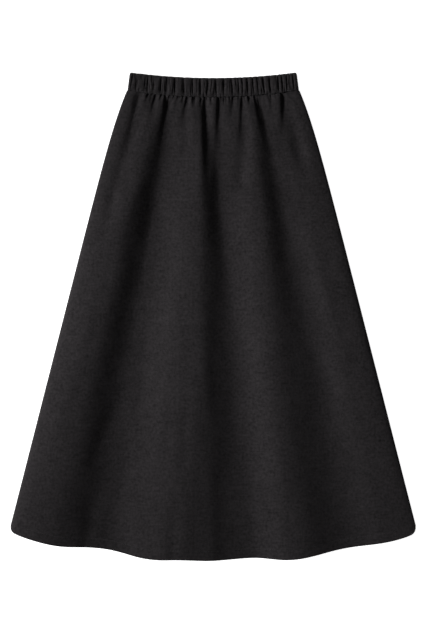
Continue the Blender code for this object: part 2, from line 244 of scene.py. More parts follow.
CLOTH_CLEARANCE = 0.0003
RESTING_SOFTNESS = 0.0010

# Small puckers along the seam, drawn at random from a fixed seed
PUCKER_SEED = 23
PUCKERS = 104
PUCKER_DEPTHS = (0.0004, 0.0017)
PUCKER_WIDTHS = (0.0014, 0.0027)
PUCKER_REACHES = (0.007, 0.034)

# The valleys between the ruches of the waistband: place, lean from top to seam, and depth
Ruche = namedtuple("Ruche", "place lean depth")
RUCHES = tuple(Ruche(*row) for row in (
    (-0.1590, 0.0008, 0.0009),
    (-0.1345, 0.0010, 0.0024),
    (-0.1235, 0.0014, 0.0011),
    (-0.1075, -0.0010, 0.0025),
    (-0.0955, 0.0006, 0.0025),
    (-0.0785, 0.0012, 0.0026),
    (-0.0600, 0.0018, 0.0025),
    (-0.0418, 0.0010, 0.0023),
    (-0.0258, 0.0012, 0.0026),
    (-0.0110, -0.0014, 0.0021),
    (0.0070, 0.0012, 0.0027),
    (0.0225, -0.0016, 0.0021),
    (0.0400, 0.0020, 0.0026),
    (0.0535, 0.0010, 0.0020),
    (0.0605, 0.0006, 0.0014),
    (0.0718, 0.0006, 0.0025),
    (0.0835, 0.0004, 0.0021),
    (0.0925, 0.0018, 0.0018),
    (0.1050, 0.0022, 0.0026),
    (0.1178, -0.0008, 0.0024),
    (0.1355, 0.0010, 0.0024),
    (0.1425, 0.0008, 0.0022),
    (0.1530, -0.0008, 0.0022),
    (0.1600, 0.0004, 0.0012),
    (0.1655, 0.0006, 0.0019),
))
RUCHE_ROUNDNESS = 2.6
RUCHE_TOP_SHARE = 0.45
RUCHE_TOP_REACH = 0.45
RUCHE_SEAM_SHARE = 0.45
RUCHE_SEAM_START = 0.7
BAND_SCALLOP = 0.0008

# Short tucks between the ruches, drawn at random from a fixed seed
TUCK_SEED = 7
TUCKS = 96
TUCK_JITTER = (0.1, 0.9)
TUCK_DEPTHS = (0.0003, 0.0013)
TUCK_WIDTHS = (0.0010, 0.0020)
TUCK_REACHES = (0.12, 0.40)
TUCK_LEAN = 0.0030

# Soft waves all over the cloth, drawn at random from a fixed seed, and the run in which they set in
WAVE_SEED = 11
WAVES = 60
WAVE_LENGTHS = (0.035, 0.140)
WAVE_REACH = 0.06

# Spacing of the front panel's rows at runs down from the seam, and the other counts of rows and columns
ROW_SPACINGS = (
    (0.000, 0.0008),
    (0.006, 0.0014),
    (0.030, 0.0022),
    (0.110, 0.0042),
    (0.200, 0.0100),
    (0.850, 0.0100),
    (0.905, 0.0026),
    (0.918, 0.0011),
    (0.931, 0.0011),
    (PANEL_LENGTH, 0.0017),
)
ROW_SAMPLES = 4000
BACK_COARSER = 1.7
SIDE_COLUMNS = 10
BAND_ROWS = 44
SHARP_ANGLE = 1.05

# The rings of a stitch: place along it in stitch lengths, thickness and height in the thread's thickness. The
# paths of stitches have more columns than the cloth, and the seam's stay some threads off the floor.
StitchRing = namedtuple("StitchRing", "place thickness height")
STITCH_RINGS = tuple(StitchRing(*row) for row in (
    (-0.50, 0.45, -0.60),
    (-0.36, 1.00, -0.05),
    (0.00, 1.00, 0.15),
    (0.36, 1.00, -0.05),
    (0.50, 0.45, -0.60),
))
STITCH_SIDES = 6
HEM_PATH_FINER = 3
SEAM_PATH_FINER = 2
STITCH_OFF_FLOOR = 2.0

# The cloth's grains: size across and along the panel in metres, and strength in the colour and in the relief
Grain = namedtuple("Grain", "across along colour relief")
GRAINS = tuple(Grain(*row) for row in (
    (0.0054, 0.0056, 0.175, 0.30),
    (0.0120, 0.0034, 0.080, 0.20),
    (0.0034, 0.0110, 0.060, 0.12),
    (0.0018, 0.0018, 0.050, 0.20),
    (0.0220, 0.0180, 0.060, 0.15),
    (0.0700, 0.0600, 0.030, 0.00),
))
GRAIN_SLICE = 3.7
NOISE_SPREAD = 8.0
SWAY_SIZE = 0.006
SWAY_SLICE = 21.0
SWAY_TURN = 0.35
# Painted shade and light of the weave: the colour is darker in the yarns' valleys and lighter on their tops
WEAVE_PAINTED_SHADING = 0.30
VALLEY_SHADE = 0.85
DARKEST_SHADE = 0.2
ROUGHNESS_SPREAD = 0.02
NAP_ROUGHNESS = 0.6
WEAVE_RELIEF = 0.9
RELIEF_STRENGTH = 0.6
RELIEF_HEIGHT = 0.00016

# The twisted plies of the thread, with painted shade in the grooves between them and painted light on them
PLY_PAINTED_SHADING = (0.7, 1.3)
PLY_SCALE = 700.0
PLY_DISTORTION = 1.5
THREAD_ROUGHNESS = 0.65
THREAD_NAP = 0.1

# The photo's frame in pixels, the skirt's origin in it and its scale
IMAGE = (427, 640)
ORIGIN_PX = (213.2, 316.3)
METRES_PER_PIXEL = 0.00205

# Camera, lights and floor
SENSOR_MM = 36.0
CAMERA_NEAR = 0.05
KEY_PLACE = (-3.0, 0.0, 2.0)
POOL_CENTRE_X = -0.05
POOL_DISTANCE = 3.0
HORIZON_BAND = (0.05, 0.22)
WHITE = (1.0, 1.0, 1.0, 1.0)
FLOOR_PAINT = (0.8, 0.8, 0.8, 1.0)
FLOOR_HALF = 15.0
FLOOR_CLEARANCE = 0.0003


class SkirtClothSettings(bpy.types.PropertyGroup):
    """Colours and weave of the cloth."""

    colour: FloatVectorProperty(
        name="Colour", description="Base colour of the yarns", subtype="COLOR", size=4,
        default=(0.0215, 0.0194, 0.0206, 1.0), min=0.0, max=1.0)
    # The thread's own dark colour, kept darker than the cloth also to paint the shade along the waistband
    # seam
    thread_colour_and_seam_shade: FloatVectorProperty(
        name="Thread", description="Colour of the sewing thread", subtype="COLOR", size=4,
        default=(0.013, 0.012, 0.0125, 1.0), min=0.0, max=1.0)
    yarn: FloatProperty(
        name="Yarn spacing", description="Distance from one yarn to the next",
        default=0.0009, min=0.0003, max=0.003, unit="LENGTH")
    roughness: FloatProperty(
        name="Roughness", description="Roughness of the cloth", default=0.9, min=0.0, max=1.0)
    shine: FloatProperty(
        name="Shine", description="Strength of the yarns' highlights", default=0.05, min=0.0, max=1.0)
    nap: FloatProperty(
        name="Nap", description="How much light the short fibres catch", default=0.03, min=0.0, max=1.0)
    heather: FloatProperty(
        name="Heather", description="Contrast between the lighter and darker yarns",
        default=1.0, min=0.0, max=3.0)


class SkirtShapeSettings(bpy.types.PropertyGroup):
    """How finely the cloth is divided, how uneven it is and how it is sewn."""

    columns: IntProperty(
        name="Front columns", description="Columns of the front panel's surface",
        default=285, min=60, max=400)
    back_columns: IntProperty(
        name="Back columns", description="Columns of the back panel's surface",
        default=150, min=60, max=400)
    band_columns: IntProperty(
        name="Band columns", description="Columns of each half of the waistband",
        default=500, min=100, max=900)
    unevenness: FloatProperty(
        name="Unevenness", description="Slope of the soft waves in the cloth",
        default=0.015, min=0.0, max=0.1)
    stitch: FloatProperty(
        name="Stitch", description="Length of one visible stitch", default=0.0026, unit="LENGTH")
    stitch_gap: FloatProperty(
        name="Stitch gap", description="Space between stitches", default=0.0009, unit="LENGTH")
    thread: FloatProperty(
        name="Thread", description="Thickness of the thread", default=0.0004, unit="LENGTH")


class SkirtStageSettings(bpy.types.PropertyGroup):
    """Camera and light."""

    camera_height: FloatProperty(
        name="Camera height", description="Height of the camera over the floor", default=2.6, unit="LENGTH")
    key_elevation: FloatProperty(
        name="Key elevation", description="Angle of the key light over the floor",
        default=math.radians(22.5), unit="ROTATION")
    key_strength: FloatProperty(
        name="Key strength", description="Strength of the key light", default=4.1, min=0.0)
    key_softness: FloatProperty(
        name="Key softness", description="Angle that the key light fills",
        default=math.radians(12.0), unit="ROTATION")
    pool_strength: FloatProperty(
        name="Pool strength", description="Power of the spot that brightens the middle of the skirt",
        default=170.0, min=0.0)
    pool_spread: FloatProperty(
        name="Pool spread", description="Cone of the spot", default=math.radians(18.0), unit="ROTATION")
    fill_strength: FloatProperty(
        name="Fill strength", description="Strength of the light from overhead", default=0.05, min=0.0)
    horizon_strength: FloatProperty(
        name="Horizon strength", description="Strength of the light from the horizon", default=0.5, min=0.0)
    floor_glow: FloatProperty(
        name="Floor glow", description="Light of the floor itself, which keeps it white",
        default=1.0, min=0.0)


def ease(share):
    """A smooth step: 0 below 0, 1 above 1, level at both ends."""
    share = np.clip(share, 0.0, 1.0)
    return share * share * (3.0 - 2.0 * share)


def through_stations(values, down):
    """Values at the stations joined by cubic curves, whose slopes are the differences of the neighbours."""
    stations = np.asarray(STATIONS)
    values = np.asarray(values)
    slopes = np.gradient(values, stations)
    index = np.clip(np.searchsorted(stations, down) - 1, 0, len(stations) - 2)
    span = stations[index + 1] - stations[index]
    t = (down - stations[index]) / span
    start = (2 * t**3 - 3 * t**2 + 1) * values[index] + (t**3 - 2 * t**2 + t) * span * slopes[index]
    end = (3 * t**2 - 2 * t**3) * values[index + 1] + (t**3 - t**2) * span * slopes[index + 1]
    return start + end


def side_half_width(down):
    """Half the panel's width: a straight flare less an exponential draw-in at the waistband."""
    flare = SEAM_HALF + SIDE_EASE + (HEM_HALF - SEAM_HALF - SIDE_EASE) * down
    return flare - SIDE_EASE * np.exp(-down / SIDE_EASE_REACH)


def side_seam_height(down):
    """Height of the side seams over the floor, in straight lines from row to row of the table."""
    return np.interp(down, [row.down for row in SIDE_SEAMS], [row.height for row in SIDE_SEAMS])


def band_top_y(x):
    """The band's top edge is a shallow parabola."""
    return BAND_TOP_RISE * (x / BAND_HALF_TOP) ** 2


def seam_arc(x):
    """The waistband seam is a shallow parabola."""
    return SEAM_RISE * (x / BAND_HALF_SEAM) ** 2 - BAND_HEIGHT


def seam_y(x, side):
    """The seam's arc with a few short waves, where the stitching puckers. The back's lies nearer the hem."""
    y = seam_arc(x) - (BACK_SEAM_LOWER if side < 0 else 0.0)
    for size, length, phase in SEAM_WIGGLES:
        y = y + size * np.sin(2.0 * np.pi * x / length + phase)
    return y


def hem_y(x):
    """The hem is an arc with its centre on the skirt's middle line."""
    return HEM_RADIUS - LENGTH - np.sqrt(HEM_RADIUS**2 - x**2)


# The plan above has its zero at the middle of the band's top edge, and the frame has it at the part's middle
PLAN_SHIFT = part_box("front_panel")[1][1] - seam_arc(SEAM_HALF) + SEAM_GAP


def fold_lines(down):
    """Places across and heights of the side seams and folds, one row for each share down."""
    across = [through_stations(fold.across, down) for fold in FOLDS]
    height = [through_stations(fold.height, down) for fold in FOLDS]
    side = side_seam_height(down) + SEAM_GAP
    edge = np.ones_like(down)
    return np.stack([-edge, *across, edge], 1), np.stack([side, *height, side], 1)


def between_lines(across, lines, values):
    """Values joined by half cosine waves from line to line, and at each side seam by a quarter of a
    superellipse, rounder on the right.

    Also gives the lean of the cloth: 1 where it stands upright at a side seam, 0 from the first fold on.
    """
    result = np.zeros_like(across)
    lean = np.zeros_like(across)
    last = lines.shape[1] - 2
    for k in range(last + 1):
        low, high = lines[:, k:k + 1], lines[:, k + 1:k + 2]
        start, end = values[:, k:k + 1], values[:, k + 1:k + 2]
        here = (across >= low) & (across <= high)
        t = np.clip((across - low) / (high - low), 0.0, 1.0)
        blend = (1.0 - np.cos(np.pi * t)) / 2.0
        if k == 0:
            blend = (1.0 - (1.0 - t) ** LEFT_ROUNDNESS) ** (1.0 / LEFT_ROUNDNESS)
            lean = np.where(here, 1.0 - t, lean)
        if k == last:
            blend = 1.0 - (1.0 - t**RIGHT_ROUNDNESS) ** (1.0 / RIGHT_ROUNDNESS)
            lean = np.where(here, t, lean)
        result = np.where(here, start + (end - start) * blend, result)
    return result, lean


def gather_depth(across, down, half_width, side):
    """Sum of the gathers: bell-shaped valleys, steeper on the left, that widen and fade down the panel.

    Each starts shallow and narrow at the seam, by an exponential. The back's are mirrored and shorter.
    """
    depth = np.zeros_like(across)
    run = down * PANEL_LENGTH
    for gather in GATHERS:
        progress = run / (gather.length if side > 0 else gather.length * BACK_GATHER_REACH)
        middle = gather.start + (gather.end - gather.start) * np.minimum(progress, 1.0)
        offset = (across * side - middle) * half_width
        flank = np.where(offset > 0.0, GATHER_RIGHT_WIDTH, GATHER_LEFT_WIDTH)
        drawn_in = GATHER_DRAWN_IN * np.exp(-run / gather.rise)
        width = gather.width * (1.0 - drawn_in / 2.0 + GATHER_SPREAD * progress) * flank
        strength = (1.0 - drawn_in) * (1.0 - ease(progress))
        depth += gather.depth * strength * np.exp(-((offset / width) ** 2))
    return depth


def crease_height(across, down, half_width, side):
    """Sum of the soft creases: a bell across each, and a smooth rise and fall along it.

    The back's are mirrored.
    """
    height = np.zeros_like(across)
    for crease in CREASES:
        along = (down - crease.down) / (crease.end_down - crease.down)
        middle = crease.across + (crease.end_across - crease.across) * along
        offset = (across * side - middle) * half_width / crease.width
        swell = ease(along / CREASE_FADE) * ease((1.0 - along) / CREASE_FADE)
        height += crease.height * swell * np.exp(-(offset**2))
    return height


def pucker_depth(across, run, side):
    """Sum of the seam's puckers: narrow bells across that fade out down the panel by a smooth step."""
    rng = np.random.default_rng(PUCKER_SEED + side)
    place = (np.arange(PUCKERS) + rng.uniform(0.0, 1.0, PUCKERS)) / PUCKERS * 2.0 - 1.0
    rows = zip(place, rng.uniform(*PUCKER_DEPTHS, PUCKERS), rng.uniform(*PUCKER_WIDTHS, PUCKERS),
               rng.uniform(*PUCKER_REACHES, PUCKERS))
    depth = np.zeros_like(across * run)
    for middle, deep, width, reach in rows:
        bell = np.exp(-(((across - middle) * SEAM_HALF / width) ** 2))
        depth = depth + deep * bell * (1.0 - ease(run / reach))
    return depth


def soft_waves(x, y, slope):
    """Sum of plane waves of seeded direction, length and phase, with the given mean slope in all."""
    rng = np.random.default_rng(WAVE_SEED)
    height = np.zeros_like(x)
    for _ in range(WAVES):
        length = rng.uniform(*WAVE_LENGTHS)
        angle = rng.uniform(0.0, np.pi)
        phase = rng.uniform(0.0, 2.0 * np.pi)
        number = 2.0 * np.pi / length
        height += np.sin(number * (x * np.cos(angle) + y * np.sin(angle)) + phase) / number
    return height * slope * np.sqrt(2.0 / WAVES)


def panel_rows(coarser):
    """Shares down a panel: rows whose spacing follows the table, from the inverse of their summed density."""
    runs = np.linspace(0.0, PANEL_LENGTH, ROW_SAMPLES)
    spacing = np.interp(runs, *zip(*ROW_SPACINGS)) * coarser
    count = np.concatenate([[0.0], np.cumsum(np.diff(runs) * 2.0 / (spacing[1:] + spacing[:-1]))])
    return np.interp(np.linspace(0.0, count[-1], int(round(count[-1])) + 1), count, runs) / PANEL_LENGTH


def panel_places(columns, curl):
    """Column shares and insets: the middle columns are even, the side ones turn through a quarter circle."""
    angles = np.linspace(0.0, np.pi / 2.0, SIDE_COLUMNS + 1)
    middle = columns - 2 * SIDE_COLUMNS
    insets = curl * (1.0 - np.cos(angles[:-1]))
    edge = np.ones(SIDE_COLUMNS)
    share = np.concatenate([-edge, np.linspace(-1.0, 1.0, middle), edge])
    inset = np.concatenate([insets, np.full(middle, curl), insets[::-1]])
    angle = np.concatenate([angles[:-1], np.full(middle, np.pi / 2.0), angles[:-1][::-1]])
    return share, inset, angle


def panel_plan(down, places, side):
    """X, Y and share across: rows run from the seam arc to the hem arc, which the folds drop."""
    share, inset, _ = places
    half_width = side_half_width(down)[:, None]
    x = share * (half_width - inset)
    across = np.clip(x / half_width, -1.0, 1.0)
    top = seam_y(across * SEAM_HALF, side) - SEAM_GAP
    waves = np.array(HEM_WAVES)
    drop = between_lines(across, waves[None, :, 0], waves[None, :, 1])[0]
    drop = drop - (BACK_HEM_SHORTER if side < 0 else 0.0)
    from_side = np.clip(half_width * (1.0 - np.abs(across)), 0.0, HEM_CORNER)
    corner = HEM_CORNER - np.sqrt(HEM_CORNER**2 - (HEM_CORNER - from_side) ** 2)
    bottom = hem_y(across * HEM_HALF) - drop + corner
    return x, PLAN_SHIFT + top + (bottom - top) * down[:, None], across


def wall_thickness(down):
    """The cloth, with the hem's turned-up layer on its inner side, by a smooth step at the hem's depth."""
    from_hem = (1.0 - down) * PANEL_LENGTH
    return CLOTH + HEM_EXTRA * ease((HEM_DEPTH - from_hem) / HEM_STEP + 0.5)


def hem_groove(x, down):
    """A bell-shaped groove along the hem's stitching, deeper and shallower in two waves."""
    from_hem = (1.0 - down) * PANEL_LENGTH
    short, long = HEM_PUCKERS
    pucker = 1.0 + HEM_PUCKER_SHARE * np.sin(2.0 * np.pi * x / short) * np.sin(2.0 * np.pi * x / long)
    return HEM_GROOVE * pucker * np.exp(-(((from_hem - HEM_STITCH_UP) / HEM_GROOVE_WIDTH) ** 2))


def front_surface(down, places, unevenness):
    """Outer grid of the front panel, and the lean of its cloth.

    Height = folds, drawn to the seam's height by an exponential, plus the creases, less the gathers, puckers,
    the tuck at the seam and the hem's groove, plus soft waves that die out towards the seam and the sides. A
    smooth maximum keeps it above the back panel.
    """
    x, y, across = panel_plan(down, places, 1)
    lines, heights = fold_lines(down)
    z, lean = between_lines(across, lines, heights)
    resting = (2.0 * wall_thickness(down) + BACK_CREASE_LIMIT + CLOTH_CLEARANCE)[:, None]
    down = down[:, None]
    run = down * PANEL_LENGTH
    free = 1.0 - lean
    z = z + (FRONT_SEAM_HEIGHT - z) * np.exp(-run / SEAM_GROOVE_REACH) * free
    z = z + crease_height(across, down, side_half_width(down), 1) * (1.0 - lean**2)
    z = z - gather_depth(across, down, side_half_width(down), 1) * (1.0 - lean**4)
    z = z - pucker_depth(across, run, 1) * free
    z = z - SEAM_TUCK * np.exp(-((run / SEAM_TUCK_REACH) ** 2)) * free
    z = z - hem_groove(x, down) * free
    z = z + soft_waves(x, y, unevenness) * ease(run / WAVE_REACH) * (1.0 - lean**2)
    above = z - resting
    z = z + (np.sqrt(above**2 + RESTING_SOFTNESS**2) - above) / 2.0 * free
    return np.stack([x, y, z], 2), lean


def front_inner(outer, lean, down):
    """Inner grid of the front panel.

    It is the outer one moved down by the thickness, times the cloth's stretch on a slope up to a limit. Where
    the cloth leans, it is moved by the sides of a right triangle whose long side is the thickness.
    """
    x, y, z = outer[:, :, 0], outer[:, :, 1], outer[:, :, 2]
    thick = wall_thickness(down)[:, None]
    slope = np.gradient(z, axis=1) / np.gradient(x, axis=1)
    straight_down = thick * np.minimum(np.sqrt(1.0 + slope**2), STEEPEST_STRETCH)
    inner_z = z - np.where(lean > 0.0, thick * np.sqrt(1.0 - lean**2), straight_down)
    return np.stack([x - np.sign(x) * thick * lean, y, inner_z], 2)


def back_surface(down, places):
    """Outer and inner grids of the back panel.

    It lies flat on the floor, with its sides curled up by a quarter turn and its top edge lifted to the band
    by a smooth step and by soft-limited gathers. Its creases stand off the floor by a soft-limited square.
    """
    x, y, across = panel_plan(down, places, -1)
    angle = places[2]
    side = side_seam_height(down)[:, None]
    thick = wall_thickness(down)[:, None]
    down = down[:, None]
    run = down * PANEL_LENGTH
    gathers = gather_depth(across, down, side_half_width(down), -1) * BACK_GATHER_SHARE
    lift = BACK_SEAM_LIFT * (1.0 - ease(run / BACK_SEAM_REACH))
    lift = lift + BACK_GATHER_LIMIT * (1.0 - np.exp(-gathers / BACK_GATHER_LIMIT))
    creases = crease_height(across, down, side_half_width(down), -1) / BACK_CREASE_LIMIT
    lift = lift + BACK_CREASE_LIMIT * (1.0 - np.exp(-(creases**2)))
    lift = lift + hem_groove(x, down) * BACK_GROOVE_SHARE
    z = lift * np.sin(angle) + side * (1.0 - np.sin(angle))
    inner_x = x - np.sign(x) * thick * np.cos(angle)
    return np.stack([x, y, z], 2), np.stack([inner_x, y, z + thick * np.sin(angle)], 2)


def folded_edge(outer, inner):
    """Draw the hem's last rows back by half the wall, and give rows that carry the cloth round its fold.

    They lie on a half circle from the outer side to the inner one.
    """
    middle = (outer[-1] + inner[-1]) / 2.0
    half = (outer[-1] - inner[-1]) / 2.0
    away = outer[-1] - outer[-3]
    away = away / np.linalg.norm(away, axis=1, keepdims=True) * np.linalg.norm(half, axis=1, keepdims=True)
    outer[-1] -= away
    inner[-1] -= away
    turn = np.linspace(0.0, np.pi, HEM_FOLD_ROWS + 2)[1:-1, None, None]
    return middle - away + half * np.cos(turn) + away * np.sin(turn)


def placed(name, data):
    """An object at the origin with that data, linked to the scene."""
    thing = bpy.data.objects.new(name, data)
    bpy.context.collection.objects.link(thing)
    return thing


def new_mesh(name, points, faces, material):
    """A mesh with those corners and faces, of one material."""
    mesh = bpy.data.meshes.new(name)
    mesh.from_pydata(points.reshape(-1, 3).tolist(), [], faces)
    mesh.materials.append(material)
    return mesh


def closed_cloth(name, outer, inner, material, edge=None):
    """One closed wall: a loop of rows down the outer side, round the edge and up the inner side.

    The loop closes at the top, and a ladder of faces closes it at each side. Its UV map is in metres: the arc
    length across from the middle column, and the place down the panel.
    """
    grids = [outer, inner[::-1]] if edge is None else [outer, edge, inner[::-1]]
    loop = np.concatenate(grids)
    rows, columns = loop.shape[:2]
    row = np.arange(rows)
    column = np.arange(columns - 1)
    here = row[:, None] * columns + column
    below = ((row[:, None] + 1) % rows) * columns + column
    skin = np.stack([here, below, below + 1, here + 1], 2).reshape(-1, 4)
    step = np.arange(rows // 2 - 1)
    rung = np.stack([step, rows - 1 - step, rows - 2 - step, step + 1], 1) * columns
    faces = np.concatenate([skin, rung, rung[:, ::-1] + columns - 1])
    mesh = new_mesh(name, loop, faces.tolist(), material)
    steps = np.linalg.norm(np.diff(loop, axis=1), axis=2)
    across = np.concatenate([np.zeros((rows, 1)), np.cumsum(steps, axis=1)], axis=1)
    across = across - across[:, columns // 2][:, None]
    coordinates = np.stack([across, loop[:, :, 1]], 2).reshape(-1, 2)
    corners = np.empty(len(mesh.loops), dtype=np.int32)
    mesh.loops.foreach_get("vertex_index", corners)
    mesh.uv_layers.new(name="cloth").data.foreach_set("uv", coordinates[corners].ravel())
    mesh.shade_smooth()
    mesh.set_sharp_from_angle(angle=SHARP_ANGLE)
    return placed(name, mesh)


def seeded_tucks(side):
    """Places, downs, reaches, widths, depths and leans of the short tucks of one half of the band."""
    rng = np.random.default_rng(TUCK_SEED + side)
    place = (np.arange(TUCKS) + rng.uniform(*TUCK_JITTER, TUCKS)) / TUCKS * 2.0 - 1.0
    return (place * BAND_HALF_SEAM, rng.uniform(0.0, 1.0, TUCKS), rng.uniform(*TUCK_REACHES, TUCKS),
            rng.uniform(*TUCK_WIDTHS, TUCKS), rng.uniform(*TUCK_DEPTHS, TUCKS),
            rng.uniform(-TUCK_LEAN, TUCK_LEAN, TUCKS))


def tuck_depth(place, down, side):
    """Sum of the short tucks: each a bell across and a bell down, leaning a little."""
    depth = np.zeros_like(place * down)
    for middle, centre, reach, width, deep, lean in zip(*seeded_tucks(side)):
        offset = place - middle - lean * (down - centre)
        depth = depth + deep * np.exp(-((offset / width) ** 2) - ((down - centre) / reach) ** 2)
    return depth


def band_surface(place, down, side):
    """X, Y and the standing height of the ruched face at places along the seam and shares down the band.

    Between two valleys a ruche bulges as 1 - |t| to a power, with t = -1 and 1 at the valleys. These lean
    about the band's middle line, and are shallower at the top fold and the seam. The face is rounded by a
    quarter ellipse at the top fold and by a quarter circle at the sides, pinched towards the seam by a smooth
    step, and rolled in at the stitching by a quarter circle.
    """
    ruches = RUCHES[::side]
    places = np.array([-BAND_HALF_SEAM, *[side * row.place for row in ruches], BAND_HALF_SEAM])
    leans = np.array([0.0, *[side * row.lean for row in ruches], 0.0])
    depths = np.array([0.0, *[row.depth for row in ruches], 0.0])
    index = np.arange(len(places))
    steps = np.interp(place, places, index)
    bulge = 1.0 - np.abs(2.0 * (steps % 1.0) - 1.0) ** RUCHE_ROUNDNESS
    depth = np.interp(steps, index, depths)
    half = BAND_HALF_TOP + (BAND_HALF_SEAM - BAND_HALF_TOP) * down
    x = place * half / BAND_HALF_SEAM + np.interp(steps, index, leans) * (down - 0.5)
    from_side = np.clip((half - np.abs(x)) / BAND_CORNER, 0.0, 1.0)
    round_side = np.sqrt(1.0 - (1.0 - from_side) ** 2)
    top = band_top_y(x) - BAND_SCALLOP * (1.0 - bulge) - BAND_CORNER * (1.0 - round_side)
    y = PLAN_SHIFT + top + (seam_y(x, side) - top) * down
    round_top = np.sqrt(1.0 - (1.0 - np.minimum(down / BAND_TOP_ROUND, 1.0)) ** 2)
    pinch = 1.0 - BAND_PINCH * ease((down - BAND_PINCH_START) / (1.0 - BAND_PINCH_START))
    rolled = np.clip((down - BAND_ROLL_START) / (1.0 - BAND_ROLL_START), 0.0, 1.0)
    pinch = pinch * (1.0 - BAND_ROLL * (1.0 - np.sqrt(1.0 - rolled**2)))
    valley_share = RUCHE_TOP_SHARE + (1.0 - RUCHE_TOP_SHARE) * ease(down / RUCHE_TOP_REACH)
    near_seam = ease((down - RUCHE_SEAM_START) / (1.0 - RUCHE_SEAM_START))
    valley_share = valley_share * (1.0 + (RUCHE_SEAM_SHARE - 1.0) * near_seam)
    side_share = BAND_SIDE_SHARE + (1.0 - BAND_SIDE_SHARE) * round_side
    full = FRONT_BAND_CREST - depth * (1.0 - bulge) * valley_share - BAND_RIM
    full = full - tuck_depth(place, down, side) * round_side
    stand = BAND_RIM + full * round_top * pinch * side_share
    if side < 0:
        stand = np.minimum(stand, BACK_BAND_TOP)
    return x, y, stand


def band_half(name, side, level, material):
    """Half of the ruched casing: side 1 is the front, whose ruches stand up, side -1 the back.

    The rows' shares are the mean of an even division and a half cosine wave, closer at the fold and the seam.
    """
    columns = bpy.context.scene.skirt_shape.band_columns
    share = np.linspace(0.0, 1.0, BAND_ROWS)
    wave = (1.0 - np.cos(np.pi * share)) / 2.0
    down = ((share + wave) / 2.0)[:, None]
    place = np.linspace(-BAND_HALF_SEAM, BAND_HALF_SEAM, columns)[None, :]
    x, y, stand = band_surface(place, down, side)
    outer = np.stack([x, y, level + side * stand], 2)
    inner = np.stack([x, y, np.full_like(x, level)], 2)
    if side < 0:
        outer, inner = outer[:, ::-1], inner[:, ::-1]
    return closed_cloth(name, outer, inner, material)


def stitches(name, path, side, ends_free, material):
    """Stitches along a path: round rings carried along each stitch, whose ends dip into the cloth.

    They stand up from the cloth where side is 1 and down where it is -1, square to the path's slope.
    """
    shape = bpy.context.scene.skirt_shape
    slope = np.gradient(path[:, 2]) / np.gradient(path[:, 0])
    up = np.stack([-slope, np.zeros_like(slope), np.ones_like(slope)], 1) * side
    path, up = path[ends_free:-ends_free], up[ends_free:-ends_free]
    run = np.concatenate([[0.0], np.cumsum(np.linalg.norm(np.diff(path, axis=0), axis=1))])
    pitch = shape.stitch + shape.stitch_gap
    middles = np.arange(pitch, run[-1] - pitch, pitch)
    centre, ahead, rise = (np.stack([np.interp(middles + reach, run, axis) for axis in source.T], 1)
                           for source, reach in ((path, 0.0), (path, shape.stitch / 2.0), (up, 0.0)))
    along = ahead - centre
    along = along / np.linalg.norm(along, axis=1, keepdims=True)
    across = np.cross(rise, along)
    across = across / np.linalg.norm(across, axis=1, keepdims=True)
    rise = np.cross(along, across)
    place, thickness, height = np.array(STITCH_RINGS).T
    radius = thickness * shape.thread / 2.0
    ends = np.arange(STITCH_SIDES)
    turn = ends * 2.0 * np.pi / STITCH_SIDES
    u = np.repeat(place * shape.stitch, STITCH_SIDES)
    v = np.outer(radius, np.cos(turn)).ravel()
    w = np.outer(radius, np.sin(turn)).ravel() + np.repeat(height * shape.thread, STITCH_SIDES)
    points = (centre[:, None] + u[None, :, None] * along[:, None] + v[None, :, None] * across[:, None]
              + w[None, :, None] * rise[:, None])
    last_ring = (len(STITCH_RINGS) - 1) * STITCH_SIDES
    ring = np.arange(0, last_ring, STITCH_SIDES)[:, None]
    corner = (ring + ends).ravel()
    following = (ring + (ends + 1) % STITCH_SIDES).ravel()
    tube = np.stack([corner, following, following + STITCH_SIDES, corner + STITCH_SIDES], 1)
    start = np.arange(len(middles))[:, None] * (last_ring + STITCH_SIDES)
    faces = (start[:, :, None] + tube[None]).reshape(-1, 4).tolist()
    faces += (start + ends[::-1]).tolist() + (start + ends + last_ring).tolist()
    mesh = new_mesh(name, points, faces, material)
    mesh.shade_smooth()
    return placed(name, mesh)


def fill(node, values):
    """Give a node's sockets their plain values, by name."""
    for name, value in values.items():
        node.inputs[name].default_value = value


